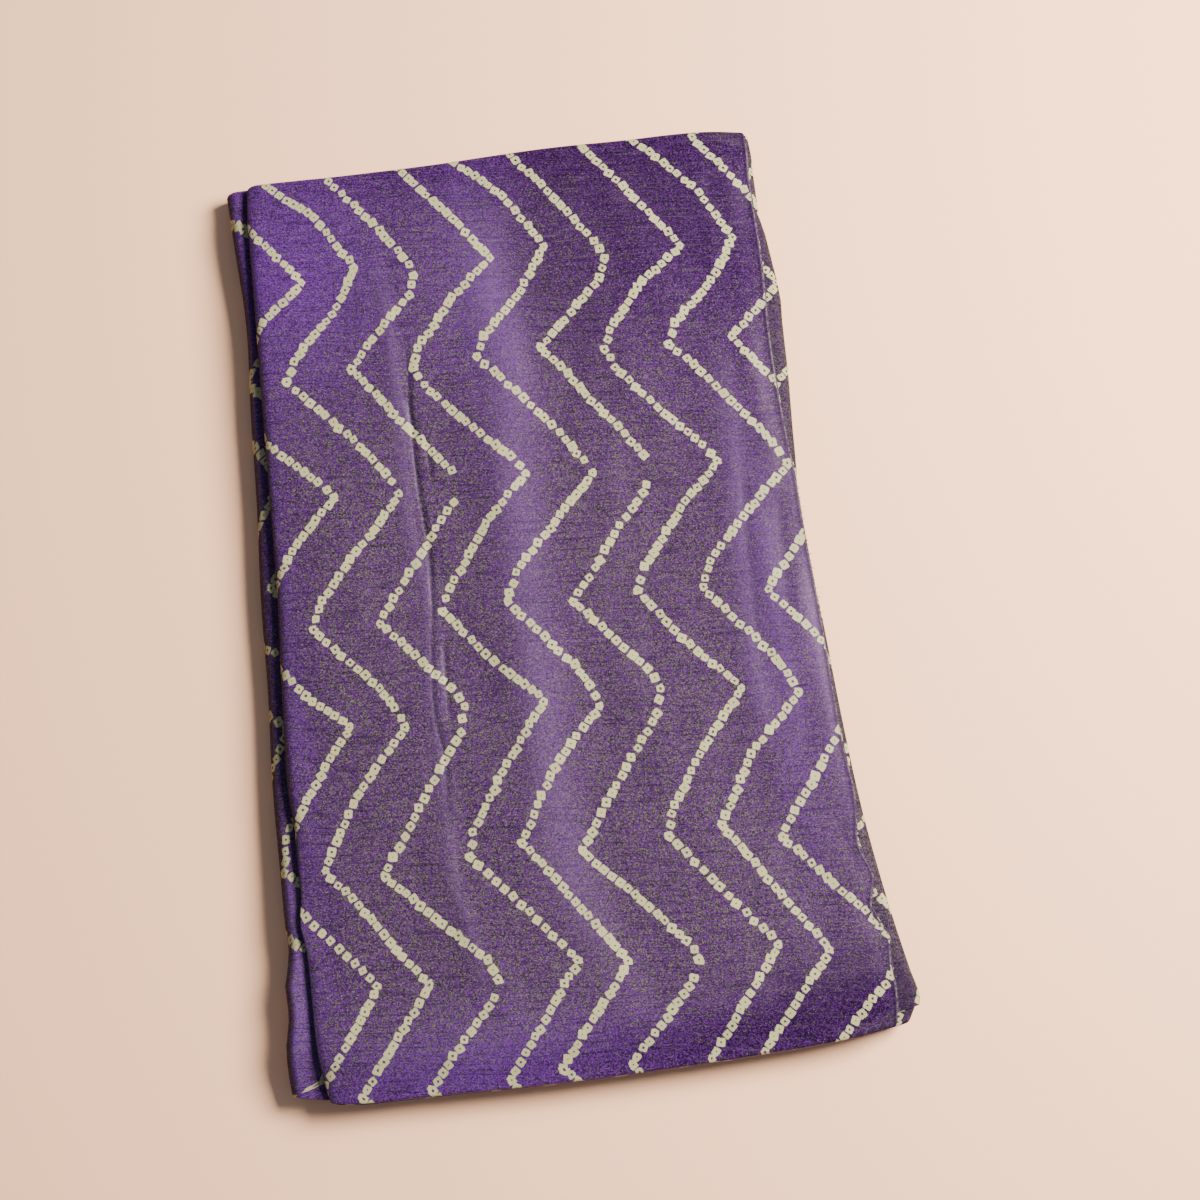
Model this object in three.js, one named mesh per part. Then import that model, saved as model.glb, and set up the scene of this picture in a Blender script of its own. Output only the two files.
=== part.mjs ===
// A folded length of printed silk, lying flat.
//
// The cloth is one sheet, folded twice. First it is turned back on itself along its length,
// so that three plies lie over each other with a rolled edge at both ends. Then that strip is
// laid back and forth across its width in four legs, which leaves two round folds on the left,
// one on the right, and an open edge at the right of the top leg and of the bottom leg.
//
// Sizes are in millimetres. X runs across the package, Y along it, Z up from what it lies on.

import * as THREE from 'three';

// The sheet
const SHEET = 1.3;            // thickness of a ply; it stands for a few of the real, thinner ones
const PLY_PITCH = 1.85;       // between the middles of neighbouring plies
const LEG_PITCH = 5.8;        // between the middles of neighbouring legs
const LEGS = 4;

// The package
const END_LOW = -221.5;       // furthest reach of the near rolled edge
const END_HIGH = 217.5;       // furthest reach of the far rolled edge
const LOOSE_EDGE = 5;         // how far the covered loose edges stay inside the rolled ones

// Left and right reach of each fold and open edge, one row for each section along Y.
// crown is where the main soft ridge of the top runs, and rise is its height.
const SECTIONS = [
  { y: -221, lowerLeft: -149.5, upperLeft: -132.0, foldRight: 132.5, topRight: 123.5, baseRight: 119, crown: 3, rise: 0.3 },
  { y: -212, lowerLeft: -150.0, upperLeft: -133.5, foldRight: 137.0, topRight: 125.0, baseRight: 120, crown: 2, rise: 0.5 },
  { y: -198, lowerLeft: -149.5, upperLeft: -135.0, foldRight: 134.5, topRight: 125.0, baseRight: 121, crown: 0, rise: 0.9 },
  { y: -165, lowerLeft: -145.0, upperLeft: -134.5, foldRight: 129.5, topRight: 121.5, baseRight: 119, crown: -5, rise: 1.4 },
  { y: -120, lowerLeft: -143.5, upperLeft: -134.0, foldRight: 124.5, topRight: 120.0, baseRight: 117, crown: -15, rise: 1.5 },
  { y: -75, lowerLeft: -142.5, upperLeft: -134.5, foldRight: 122.0, topRight: 118.5, baseRight: 115, crown: -19, rise: 1.8 },
  { y: -30, lowerLeft: -139.7, upperLeft: -132.0, foldRight: 120.5, topRight: 118.0, baseRight: 113, crown: -20, rise: 2.2 },
  { y: 15, lowerLeft: -138.0, upperLeft: -129.0, foldRight: 118.5, topRight: 116.7, baseRight: 112, crown: -20, rise: 2.4 },
  { y: 60, lowerLeft: -134.8, upperLeft: -127.3, foldRight: 120.3, topRight: 115.5, baseRight: 112, crown: -16, rise: 2.4 },
  { y: 105, lowerLeft: -132.6, upperLeft: -125.7, foldRight: 123.2, topRight: 114.9, baseRight: 113, crown: -14, rise: 2.2 },
  { y: 150, lowerLeft: -129.7, upperLeft: -124.0, foldRight: 123.4, topRight: 117.0, baseRight: 114, crown: -15, rise: 1.6 },
  { y: 192, lowerLeft: -131.0, upperLeft: -122.6, foldRight: 121.0, topRight: 117.3, baseRight: 114, crown: -12, rise: 0.9 },
  { y: 207, lowerLeft: -131.5, upperLeft: -122.0, foldRight: 121.8, topRight: 118.6, baseRight: 114, crown: -12, rise: 0.6 },
  { y: 217, lowerLeft: -132.0, upperLeft: -121.2, foldRight: 121.5, topRight: 119.0, baseRight: 114, crown: -12, rise: 0.4 },
];

// How far the two rolled edges reach, one row for each place across the package
const ENDS = [
  { x: -150, low: -211.5, high: 214.5 },
  { x: -130, low: -215.8, high: 215.8 },
  { x: -115, low: -217.8, high: 217.3 },
  { x: -80, low: -219.0, high: 216.4 },
  { x: -30, low: -221.0, high: 215.8 },
  { x: 20, low: -221.5, high: 216.6 },
  { x: 60, low: -221.2, high: 215.4 },
  { x: 95, low: -220.2, high: 214.6 },
  { x: 115, low: -218.4, high: 212.0 },
  { x: 135, low: -215.5, high: 208.0 },
];

// Unevenness of the stack
const END_DROOP = 0.2;        // share of the height that is lost at the rolled edges
const DROOP_LENGTH = 24;      // how far in from them the stack starts to lose it
const RISE_WIDTH = 17;        // half width of the ridge on the top
const WAVE_HEIGHT = 0.5;      // slow swell of the top
const WAVE_ACROSS = 96;       // its length along X
const WAVE_ALONG = 300;       // its length along Y
const LEG_SLIP = 1.6;         // how far the legs' ends shift against each other along Y
const SLIP_LENGTH = 410;      // length of cloth in which that shift comes and goes

// Steps of the mesh
const LEFT_SHARES = [0, 0.24, 0.46, 0.66, 0.84, 1];   // from a leg's left end to the ridge
const RIGHT_SHARES = [0.15, 0.34, 0.56, 0.79, 1];     // from the ridge to its right end
const LEG_TURN_STEPS = 5;     // around a fold of the legs
const OUTER_ROLL_STEPS = 4;   // around the rolled edge of three plies
const INNER_ROLL_STEPS = 3;   // around the rolled edge of two plies

// Worked out from the sizes above
const HALF_SHEET = SHEET / 2;
const LEG_HALF = PLY_PITCH + HALF_SHEET;
const LEG_TURN = LEG_PITCH / 2;
const FOLD_INSET = LEG_TURN + LEG_HALF;
const STACK_HEIGHT = (LEGS - 1) * LEG_PITCH + 2 * LEG_HALF;

const SILK = new THREE.MeshStandardMaterial({
  name: 'printed_silk',
  color: 0x69497a,
  roughness: 0.5,
  metalness: 0,
});

// A smooth step from 0 to 1
function ease(t) {
  const c = Math.min(1, Math.max(0, t));
  return c * c * (3 - 2 * c);
}

// The value of a table's column at a place along its key column, on a smooth curve
function readTable(rows, key, column, place) {
  const last = rows.length - 1;
  let i = 0;
  while (i < last - 1 && rows[i + 1][key] < place) {
    i += 1;
  }
  const slope = (j) => {
    const before = rows[Math.max(j - 1, 0)];
    const after = rows[Math.min(j + 1, last)];
    return (after[column] - before[column]) / (after[key] - before[key]);
  };
  const width = rows[i + 1][key] - rows[i][key];
  const t = Math.min(1, Math.max(0, (place - rows[i][key]) / width));
  const bend = t * t * (3 - 2 * t);
  const value = rows[i][column] * (1 - bend) + rows[i + 1][column] * bend;
  const startPull = slope(i) * width * t * (1 - t) * (1 - t);
  const endPull = slope(i + 1) * width * t * t * (1 - t);
  return value + startPull - endPull;
}

// Places across one leg, from its left end to its right end
function legPlaces(left, crown, right) {
  const places = LEFT_SHARES.map((share) => left + share * (crown - left));
  for (const share of RIGHT_SHARES) {
    places.push(crown + share * (right - crown));
  }
  return places;
}

// The middle line of the back-and-forth legs in the section at y, from the bottom open edge
// to the top one. Each place has the direction (nx, nz) that the plies are stacked in.
function legPath(y) {
  const reach = (column) => readTable(SECTIONS, 'y', column, y);
  const crown = reach('crown');
  const turns = [
    reach('baseRight'),
    reach('lowerLeft') + FOLD_INSET,
    reach('foldRight') - FOLD_INSET,
    reach('upperLeft') + FOLD_INSET,
    reach('topRight'),
  ];
  const path = [];
  for (let leg = 0; leg < LEGS; leg += 1) {
    const goesLeft = leg % 2 === 0;
    const z = LEG_HALF + leg * LEG_PITCH;
    const places = legPlaces(Math.min(turns[leg], turns[leg + 1]), crown, Math.max(turns[leg], turns[leg + 1]));
    if (goesLeft) {
      places.reverse();
    }
    const up = goesLeft ? -1 : 1;
    for (const x of places) {
      path.push({ x, z, nx: 0, nz: up, across: -up });
    }
    if (leg < LEGS - 1) {
      const swing = goesLeft ? -1 : 1;
      for (let step = 1; step < LEG_TURN_STEPS; step += 1) {
        const angle = Math.PI * (step / LEG_TURN_STEPS - 0.5);
        const dx = swing * Math.cos(angle);
        const dz = Math.sin(angle);
        path.push({
          x: turns[leg + 1] + LEG_TURN * dx,
          z: z + LEG_TURN + LEG_TURN * dz,
          nx: -swing * dx,
          nz: -swing * dz,
          across: -up,
        });
      }
    }
  }
  return path;
}

// The middle line of the three plies along Y, from the lowest ply's loose edge to the middle
// ply's. n is the height in the stack of plies, and (my, mn) the direction of the thickness.
function plyProfile() {
  const nearRoll = END_LOW + PLY_PITCH / 2 + HALF_SHEET;
  const farRoll = END_HIGH - PLY_PITCH - HALF_SHEET;
  const between = SECTIONS.slice(1, -1).map((row) => row.y);
  const profile = [];
  const addPly = (places, n, mn, along) => {
    for (const y of places) {
      profile.push({ y, n, my: 0, mn, along });
    }
  };
  const addRoll = (centre, height, radius, side, steps) => {
    for (let step = 1; step < steps; step += 1) {
      const angle = Math.PI * (step / steps - 0.5);
      const my = side * Math.cos(angle);
      const mn = side * Math.sin(angle);
      profile.push({ y: centre + radius * my, n: height + radius * mn, my, mn, along: side });
    }
  };
  addPly([nearRoll + LOOSE_EDGE, ...between, farRoll], -PLY_PITCH, -1, 1);
  addRoll(farRoll, 0, PLY_PITCH, 1, OUTER_ROLL_STEPS);
  addPly([farRoll, ...between.reverse(), nearRoll], PLY_PITCH, 1, -1);
  addRoll(nearRoll, PLY_PITCH / 2, PLY_PITCH / 2, -1, INNER_ROLL_STEPS);
  addPly([nearRoll, ...between.reverse(), farRoll - LOOSE_EDGE], 0, -1, 1);
  return profile;
}

// Moves a place of the straight stack to where it lies in the uneven one
function settle(x, y, z, cloth) {
  const low = readTable(ENDS, 'x', 'low', x);
  const high = readTable(ENDS, 'x', 'high', x);
  const along = (y - END_LOW) / (END_HIGH - END_LOW);
  const slip = LEG_SLIP * Math.sin(2 * Math.PI * cloth / SLIP_LENGTH);
  const height = z / STACK_HEIGHT;
  const fromEnd = Math.min(y - END_LOW, END_HIGH - y);
  const droop = END_DROOP * (1 - ease(fromEnd / DROOP_LENGTH));
  const crown = readTable(SECTIONS, 'y', 'crown', y);
  const rise = readTable(SECTIONS, 'y', 'rise', y);
  const ridge = rise * Math.exp(-(((x - crown) / RISE_WIDTH) ** 2));
  const swell = WAVE_HEIGHT * Math.cos(2 * Math.PI * x / WAVE_ACROSS) * Math.cos(2 * Math.PI * y / WAVE_ALONG);
  return [
    x,
    low + along * (high - low) + slip * Math.abs(2 * along - 1) * (1 - height),
    z * (1 - droop) + height * height * (ridge + swell),
  ];
}

// The whole sheet as one closed mesh
function foldedSheet() {
  const profile = plyProfile();
  const steps = legPath(0);
  const rows = steps.length;
  const columns = profile.length;
  const positions = [];
  const indices = [];
  const vertex = (k, i, side) => (k * columns + i) * 2 + side;

  for (let k = 0; k < rows; k += 1) {
    for (const ply of profile) {
      for (const side of [-1, 1]) {
        const y = ply.y + side * HALF_SHEET * ply.my;
        const n = ply.n + side * HALF_SHEET * ply.mn;
        const place = legPath(y)[k];
        const cloth = SLIP_LENGTH * k / rows;
        positions.push(...settle(place.x + n * place.nx, y, place.z + n * place.nz, cloth));
      }
    }
  }

  const addQuad = (a, b, c, d) => indices.push(a, b, c, a, c, d);
  for (let k = 0; k < rows - 1; k += 1) {
    for (let i = 0; i < columns - 1; i += 1) {
      const same = steps[k].across * profile[i].along > 0;
      for (const side of [0, 1]) {
        const corners = [
          vertex(k, i, side),
          vertex(k, i + 1, side),
          vertex(k + 1, i + 1, side),
          vertex(k + 1, i, side),
        ];
        if (side === 0) {
          corners.reverse();
        }
        if (same === (side === 0)) {
          corners.push(corners.shift());
        }
        addQuad(...corners);
      }
    }
    addQuad(vertex(k, 0, 0), vertex(k, 0, 1), vertex(k + 1, 0, 1), vertex(k + 1, 0, 0));
    const i = columns - 1;
    addQuad(vertex(k, i, 1), vertex(k, i, 0), vertex(k + 1, i, 0), vertex(k + 1, i, 1));
  }
  for (let i = 0; i < columns - 1; i += 1) {
    addQuad(vertex(0, i, 0), vertex(0, i + 1, 0), vertex(0, i + 1, 1), vertex(0, i, 1));
    const k = rows - 1;
    addQuad(vertex(k, i, 1), vertex(k, i + 1, 1), vertex(k, i + 1, 0), vertex(k, i, 0));
  }

  const geometry = new THREE.BufferGeometry();
  geometry.setAttribute('position', new THREE.Float32BufferAttribute(positions, 3));
  geometry.setIndex(indices);
  geometry.computeVertexNormals();
  return geometry;
}

const cloth = new THREE.Mesh(foldedSheet(), SILK);
cloth.name = 'folded_cloth';

const part = new THREE.Group();
part.add(cloth);

// The origin is on the surface that the cloth lies on, under the middle of its box
const box = new THREE.Box3().setFromObject(part);
part.position.set(-(box.min.x + box.max.x) / 2, -(box.min.y + box.max.y) / 2, -box.min.z);

export default part;
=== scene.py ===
"""A folded length of printed shot silk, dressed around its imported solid.

The cloth is one thin sheet, folded twice. It is turned back on itself along its length into three
plies, and the strip that this makes is laid back and forth across its width in four legs. This
script makes that sheet fine, with its creases, its weave and its dotted zigzag print.

The tables are in millimetres of the sheet's own frame: X across the package, Y along it, Z up.
The finished meshes are in metres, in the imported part's frame.
"""

import logging
import math
from collections.abc import Mapping, Sequence
from dataclasses import dataclass, field
from enum import Enum
from typing import Any, NamedTuple

import bpy
import numpy as np
from mathutils import Matrix, Vector


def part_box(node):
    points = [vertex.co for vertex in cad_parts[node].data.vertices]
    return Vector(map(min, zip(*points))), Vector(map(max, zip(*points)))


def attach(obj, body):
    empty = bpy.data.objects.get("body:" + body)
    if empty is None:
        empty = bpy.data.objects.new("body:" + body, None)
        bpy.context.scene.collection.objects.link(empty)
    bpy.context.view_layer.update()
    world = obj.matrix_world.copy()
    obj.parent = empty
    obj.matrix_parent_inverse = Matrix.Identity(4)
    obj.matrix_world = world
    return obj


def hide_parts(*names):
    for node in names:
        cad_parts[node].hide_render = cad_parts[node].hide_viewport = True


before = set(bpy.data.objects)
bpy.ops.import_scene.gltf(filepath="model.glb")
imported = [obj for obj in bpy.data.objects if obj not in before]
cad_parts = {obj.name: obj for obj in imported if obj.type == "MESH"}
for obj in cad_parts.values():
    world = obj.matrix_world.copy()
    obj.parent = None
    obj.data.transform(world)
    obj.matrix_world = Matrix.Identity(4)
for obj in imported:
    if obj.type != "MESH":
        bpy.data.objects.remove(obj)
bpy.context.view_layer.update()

log = logging.getLogger("silk")

MM = 0.001
CLOTH_NODE = "folded_cloth"
BODY = "root"


class Section(NamedTuple):
    """How far the folds and open edges reach left and right at one place along the package.

    crown is where the main soft ridge of the top runs, and rise is its height.
    """

    y: float
    lower_left: float
    upper_left: float
    fold_right: float
    top_right: float
    base_right: float
    crown: float
    rise: float


SECTIONS = (
    Section(-221, -149.5, -132.0, 132.5, 123.5, 119, 3, 0.3),
    Section(-212, -150.0, -133.5, 137.0, 125.0, 120, 2, 0.5),
    Section(-198, -149.5, -135.0, 134.5, 125.0, 121, 0, 0.9),
    Section(-165, -145.0, -134.5, 129.5, 121.5, 119, -5, 1.4),
    Section(-120, -143.5, -134.0, 124.5, 120.0, 117, -15, 1.5),
    Section(-75, -142.5, -134.5, 122.0, 118.5, 115, -19, 1.8),
    Section(-30, -139.7, -132.0, 120.5, 118.0, 113, -20, 2.2),
    Section(15, -138.0, -129.0, 118.5, 116.7, 112, -20, 2.4),
    Section(60, -134.8, -127.3, 120.3, 115.5, 112, -16, 2.4),
    Section(105, -132.6, -125.7, 123.2, 114.9, 113, -14, 2.2),
    Section(150, -129.7, -124.0, 123.4, 117.0, 114, -15, 1.6),
    Section(192, -131.0, -122.6, 121.0, 117.3, 114, -12, 0.9),
    Section(207, -131.5, -122.0, 121.8, 118.6, 114, -12, 0.6),
    Section(217, -132.0, -121.2, 121.5, 119.0, 114, -12, 0.4),
)


class End(NamedTuple):
    """How far the two rolled ends reach at one place across the package."""

    x: float
    low: float
    high: float


ENDS = (
    End(-150, -211.5, 214.5),
    End(-130, -215.8, 215.8),
    End(-115, -217.8, 217.3),
    End(-80, -219.0, 216.4),
    End(-30, -221.0, 215.8),
    End(20, -221.5, 216.6),
    End(60, -221.2, 215.4),
    End(95, -220.2, 214.6),
    End(115, -218.4, 212.0),
    End(135, -215.5, 208.0),
)


class Puff(NamedTuple):
    """How far the lower of the two left bundles swells up at one place along the package."""

    y: float
    lift: float


PUFFS = (
    Puff(-221, 6.4), Puff(-190, 7.6), Puff(-150, 7.2), Puff(-110, 5.6), Puff(-60, 3.8),
    Puff(60, 3.8), Puff(130, 4.6), Puff(180, 5.8), Puff(217, 5.8),
)


class Edge(Enum):
    """The turns and edges that the legs run between, from the bottom open edge to the top one."""

    BASE_RIGHT = "base_right"
    LOWER_LEFT = "lower_left"
    FOLD_RIGHT = "fold_right"
    UPPER_LEFT = "upper_left"
    TOP_RIGHT = "top_right"


class Bump(NamedTuple):
    """A small local bulge of an outline: where along it, how far out, and its half width."""

    edge: Edge
    y: float
    out: float
    half_width: float


BUMPS = (
    Bump(Edge.TOP_RIGHT, -181, 3.2, 6),
    Bump(Edge.TOP_RIGHT, -168, -2.2, 6),
    Bump(Edge.TOP_RIGHT, -151, 2.4, 6),
    Bump(Edge.TOP_RIGHT, -134, -2.0, 8),
    Bump(Edge.TOP_RIGHT, -109, 1.0, 10),
    Bump(Edge.TOP_RIGHT, 40, 0.7, 14),
    Bump(Edge.UPPER_LEFT, -140, 1.6, 8),
    Bump(Edge.UPPER_LEFT, -96, -1.0, 10),
    Bump(Edge.LOWER_LEFT, -187, -0.8, 7),
    Bump(Edge.LOWER_LEFT, -170, 1.4, 6),
    Bump(Edge.LOWER_LEFT, -151, -0.9, 7),
    Bump(Edge.FOLD_RIGHT, 135, 1.2, 12),
    Bump(Edge.FOLD_RIGHT, 176, -1.3, 8),
    Bump(Edge.FOLD_RIGHT, 30, -0.9, 12),
)

Span = tuple[float, float]
Route = tuple[Span, ...]

CROWN_ROUTE: Route = (
    (-14, 206), (-13, 178), (-15, 143), (-12, 113), (-13, 84), (-16, 55), (-18, 22),
    (-18, -6), (-17, -39), (-19, -76), (-18, -109), (-15, -136), (-6, -169), (-1, -196),
)
THIN_RIDGE_ROUTE: Route = (
    (-66, 193), (-63, 165), (-62, 135), (-62, 101), (-63, 67), (-64, 38), (-60, 4),
    (-63, -33), (-63, -61), (-63, -88), (-65, -120), (-60, -148), (-56, -175), (-55, -198),
)
SHARP_ROUTE: Route = (
    (-53, 134), (-56, 101), (-57, 73), (-57, 50), (-56, 28), (-58, 0), (-61, -22),
    (-63, -48), (-61, -72), (-64, -111),
)
SHARP_UPPER_ROUTE: Route = ((-60, 112), (-56, 90), (-51, 78), (-51, 55))
SHARP_LOWER_ROUTE: Route = ((-54, -12), (-56, -38), (-56, -56))
RIGHT_RIDGE_ROUTE: Route = (
    (91, 114), (91, 79), (90, 50), (87, 22), (86, -7), (85, -35), (85, -63), (83, -95),
)
RIGHT_TROUGH_ROUTE: Route = ((93, 59), (92, 31), (90, 2), (89, -26), (87, -59))
SECOND_RIDGE_ROUTE: Route = (
    (101, 68), (101, 39), (98, 11), (98, -18), (99, -56), (99, -88),
)
SECOND_TROUGH_ROUTE: Route = ((108, 43), (107, 19), (106, -14), (106, -43))
RIM_RIDGE_ROUTE: Route = (
    (119, 110), (117, 66), (114, 28), (113, -1), (114, -30), (114, -63), (115, -95),
    (118, -132), (121, -160),
)


class Form(Enum):
    """What a crease does to the surface of the cloth."""

    RIDGE = "ridge"
    TROUGH = "trough"
    LAP = "lap"


def ease(t: np.ndarray) -> np.ndarray:
    """A smooth step from 0 to 1."""
    held = np.clip(t, 0.0, 1.0)
    return held * held * (3.0 - 2.0 * held)


def soft_step(values: np.ndarray, start: float, end: float) -> np.ndarray:
    """A smooth step from 0 at start to 1 at end."""
    return ease((values - start) / (end - start))


def smooth_route(route: Route, steps: int = 5) -> np.ndarray:
    """A smooth line through given points.

    Args:
        route: The points.
        steps: How many steps the line takes between neighbours.

    Returns:
        The line's points, one a row.
    """
    points = np.array(route, float)
    padded = np.vstack([2 * points[0] - points[1], points, 2 * points[-1] - points[-2]])
    line = [points[0]]
    for a, b, c, d in zip(padded, padded[1:], padded[2:], padded[3:]):
        for step in range(1, steps + 1):
            t = step / steps
            bend = 2 * b + (c - a) * t + (2 * a - 5 * b + 4 * c - d) * t**2
            line.append(0.5 * (bend + (3 * b - a - 3 * c + d) * t**3))
    return np.array(line)


def place_on_route(route: Route, x: np.ndarray, y: np.ndarray) -> tuple[np.ndarray, ...]:
    """Where places of the cloth lie against a route.

    Args:
        route: The route's points.
        x: Places across the cloth.
        y: Places along the cloth.

    Returns:
        The distance from the route, positive on its right as it runs, how far along it the
        nearest point is, and the route's length.
    """
    line = smooth_route(route)
    best = np.full(x.shape, 1e9)
    side = np.ones(x.shape)
    along = np.zeros(x.shape)
    done = 0.0
    for start, end in zip(line, line[1:]):
        step = end - start
        length = float(np.hypot(*step))
        to_x = x - start[0]
        to_y = y - start[1]
        share = np.clip((to_x * step[0] + to_y * step[1]) / length**2, 0.0, 1.0)
        gap = np.hypot(to_x - share * step[0], to_y - share * step[1])
        nearer = gap < best
        best = np.where(nearer, gap, best)
        side = np.where(nearer, np.sign(to_x * step[1] - to_y * step[0]), side)
        along = np.where(nearer, done + share * length, along)
        done += length
    return best * side, along, np.full(x.shape, done)


@dataclass(frozen=True)
class Crease:
    """A crease or soft ridge of the top ply, drawn along a listed route."""

    form: Form
    height: float
    half_width: float
    route: Route
    fade: float = 24.0

    def window(self, along: np.ndarray, length: np.ndarray) -> np.ndarray:
        """How strong the crease is along its route, fading out at both ends."""
        return ease(along / self.fade) * ease((length - along) / self.fade)

    def relief(self, x: np.ndarray, y: np.ndarray) -> np.ndarray:
        """How far the crease lifts the cloth at given places.

        Args:
            x: Places across the cloth.
            y: Places along the cloth.

        Returns:
            The lift at each place.
        """
        gap, along, length = place_on_route(self.route, x, y)
        near = gap / self.half_width
        hill = self.height * np.exp(-(near**2)) * self.window(along, length)
        if self.form is Form.TROUGH:
            return -hill
        if self.form is Form.LAP:
            return -near * math.sqrt(math.e) * hill
        return hill


CREASES = (
    Crease(Form.RIDGE, 0.55, 3.6, THIN_RIDGE_ROUTE, 60),
    Crease(Form.TROUGH, 0.60, 1.1, SHARP_ROUTE, 30),
    Crease(Form.TROUGH, 0.50, 1.1, SHARP_UPPER_ROUTE, 14),
    Crease(Form.TROUGH, 0.50, 1.1, SHARP_LOWER_ROUTE, 14),
    Crease(Form.RIDGE, 0.14, 1.8, tuple((x + 2.8, y) for x, y in SHARP_ROUTE), 30),
    Crease(Form.RIDGE, 0.34, 5.0, RIGHT_RIDGE_ROUTE),
    Crease(Form.TROUGH, 0.26, 1.8, RIGHT_TROUGH_ROUTE),
    Crease(Form.RIDGE, 0.28, 4.0, SECOND_RIDGE_ROUTE),
    Crease(Form.TROUGH, 0.24, 2.0, SECOND_TROUGH_ROUTE),
    Crease(Form.RIDGE, 0.26, 3.4, RIM_RIDGE_ROUTE),
    Crease(Form.RIDGE, 0.40, 4.5, ((47, 201), (51, 184), (56, 165), (60, 153)), 14),
    Crease(Form.RIDGE, 0.40, 4.0, ((91, 201), (93, 178), (95, 158), (98, 142)), 14),
    Crease(Form.RIDGE, 0.30, 3.0, ((29, 207), (35, 196), (38, 184)), 8),
    Crease(Form.LAP, 0.30, 5.0, ((-121, -128), (-91, -144), (-66, -156)), 20),
    Crease(Form.RIDGE, 0.35, 4.0, ((-50, -149), (-50, -174), (-50, -198)), 16),
    Crease(Form.RIDGE, 0.35, 5.0, ((-104, 196), (-106, 160), (-104, 120), (-107, 84))),
    Crease(Form.TROUGH, 0.30, 5.0, ((36, 120), (40, 76), (37, 30), (41, -14), (38, -60))),
    Crease(Form.RIDGE, 0.30, 6.0, ((52, -40), (55, -84), (51, -128), (56, -170))),
)


class Swell(NamedTuple):
    """A slow wave of the top: its height, its lengths across and along, and its start."""

    height: float
    across: float
    along: float
    start: float


SWELLS = (
    Swell(0.16, 61, -147, 0.7),
    Swell(0.12, -43, -95, 2.1),
    Swell(0.09, 27, 118, 4.0),
    Swell(0.06, 19, -71, 1.3),
    Swell(0.05, -233, 31, 5.2),
)


class Band(NamedTuple):
    """A band of the top with a painted highlight or painted crease shade: its route, half width, amount and
    fade.
    """

    route: Route
    half_width: float
    amount: float
    fade: float


# Painted highlights: lilac bands down the ridges, on their slopes that face the light.
PAINTED_HIGHLIGHTS = (
    Band(tuple((x + 4, y) for x, y in CROWN_ROUTE), 10.0, 0.75, 70),
    Band(THIN_RIDGE_ROUTE, 3.6, 0.55, 60),
    Band(RIGHT_RIDGE_ROUTE, 5.2, 0.62, 40),
    Band(SECOND_RIDGE_ROUTE, 4.2, 0.55, 40),
    Band(RIM_RIDGE_ROUTE, 3.0, 0.30, 40),
)


# Painted shade: dark lines down the sharp creases and troughs of the top.
PAINTED_CREASE_SHADES = (
    Band(SHARP_ROUTE, 1.1, 0.85, 24),
    Band(SHARP_UPPER_ROUTE, 1.0, 0.80, 14),
    Band(SHARP_LOWER_ROUTE, 1.0, 0.80, 14),
    Band(RIGHT_TROUGH_ROUTE, 1.6, 0.45, 24),
    Band(SECOND_TROUGH_ROUTE, 1.8, 0.35, 24),
)


class Shade(Enum):
    """How the cloth's colour leans in a patch: less of the olive's painted sheen, painted shade, or painted
    light.
    """

    UNSHEENED = "unsheened"
    PAINTED_SHADE = "painted_shade"
    LIT = "lit"


class Patch(NamedTuple):
    """A soft patch of the top where the colour leans, to paint light, shade, or less of the olive's sheen:
    its middle, half sizes and amount.
    """

    shade: Shade
    x: float
    y: float
    half_x: float
    half_y: float
    amount: float


# Painted light and shade over the top, in place of how the light falls on it: the first patches take out
# the olive's painted sheen, the next paint shade and the last paint light.
PATCHES = (
    Patch(Shade.UNSHEENED, 0, 216, 260, 24, 0.95),
    Patch(Shade.UNSHEENED, -108, 170, 56, 66, 0.97),
    Patch(Shade.UNSHEENED, 92, 160, 76, 66, 0.93),
    Patch(Shade.UNSHEENED, 0, -216, 260, 17, 0.95),
    Patch(Shade.UNSHEENED, 112, -206, 60, 18, 0.70),
    Patch(Shade.UNSHEENED, 108, -90, 22, 80, 0.25),
    Patch(Shade.UNSHEENED, -128, -20, 14, 210, 0.55),
    Patch(Shade.UNSHEENED, 96, 20, 18, 100, 0.35),
    Patch(Shade.UNSHEENED, -14, 80, 16, 120, 0.35),
    # Painted shade: darker violet where the top turns away from the light, near its ends and over the
    # right.
    Patch(Shade.PAINTED_SHADE, 66, 190, 80, 56, 0.55),
    Patch(Shade.PAINTED_SHADE, 120, 20, 70, 240, 0.30),
    Patch(Shade.PAINTED_SHADE, 20, 140, 30, 50, 0.25),
    Patch(Shade.PAINTED_SHADE, 70, -214, 90, 10, 0.3),
    Patch(Shade.PAINTED_SHADE, 108, -196, 46, 16, 0.55),
    Patch(Shade.PAINTED_SHADE, 20, 0, 16, 110, 0.22),
    Patch(Shade.LIT, -106, 172, 50, 58, 0.60),
    Patch(Shade.LIT, -62, -208, 74, 22, 0.60),
    Patch(Shade.LIT, -146, -160, 12, 70, 0.95),
    Patch(Shade.LIT, -127, 20, 7, 150, 0.35),
    Patch(Shade.LIT, -18, 160, 20, 60, 0.45),
    Patch(Shade.LIT, 98, -60, 12, 90, 0.35),
)


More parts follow.
